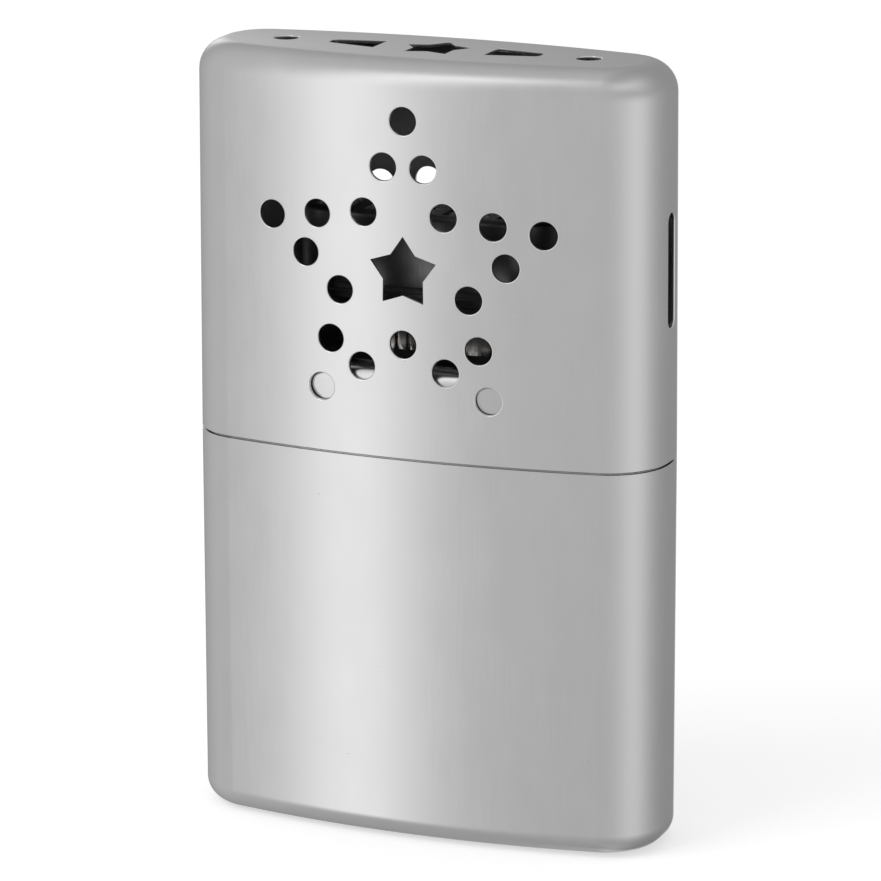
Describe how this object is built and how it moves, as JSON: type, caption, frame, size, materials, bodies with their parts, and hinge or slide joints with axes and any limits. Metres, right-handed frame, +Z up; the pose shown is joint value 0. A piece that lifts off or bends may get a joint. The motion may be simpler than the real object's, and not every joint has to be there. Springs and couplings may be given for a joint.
{
  "type": "catalytic hand warmer",
  "caption": "Pocket catalytic hand warmer: a flat rounded metal tank packed with cotton, a lift-off burner on its oval neck, and a pierced metal cap that slides over both.",
  "frame": {"origin": "middle of the flat underside of the tank", "axes": "+X across the width, +Y from the front face to the back face, +Z up towards the top of the cap"},
  "size_m": [0.066, 0.0232, 0.1052],
  "materials": {
    "case_chrome": "satin chrome plate on deep-drawn brass, fine brushed grain",
    "collar_chrome": "polished chrome plate",
    "neck_nickel": "bright nickel plate",
    "retainer_steel": "pressed steel, dull",
    "wick_felt": "pressed wool felt",
    "cotton_wadding": "cotton wadding",
    "burner_nickel": "plated steel, heat dulled",
    "catalyst_fibre": "glass-fibre mat coated with catalyst, grey",
    "gauze_steel": "woven wire gauze",
    "rivet_steel": "bright steel"
  },
  "bodies": {
    "tank": {"tank_shell": "case_chrome", "tank_collar": "collar_chrome", "filler_neck": "neck_nickel", "cotton_retainer": "retainer_steel", "wick_felt": "wick_felt", "cotton_front": "cotton_wadding", "cotton_middle": "cotton_wadding", "cotton_rear": "cotton_wadding"},
    "burner": {"burner_sleeve": "burner_nickel", "burner_cage": "burner_nickel", "catalyst_mat": "catalyst_fibre", "lower_gauze": "gauze_steel", "upper_gauze": "gauze_steel", "cage_rivets": "rivet_steel"},
    "cap": {"cap_shell": "case_chrome"}
  },
  "joints": [
    {"name": "cap_lift", "type": "slide", "parent": "tank", "child": "cap", "axis": [0, 0, 1], "range_m": [0, 0.06]},
    {"name": "burner_lift", "type": "slide", "parent": "tank", "child": "burner", "axis": [0, 0, 1], "range_m": [0, 0.018]}
  ]
}
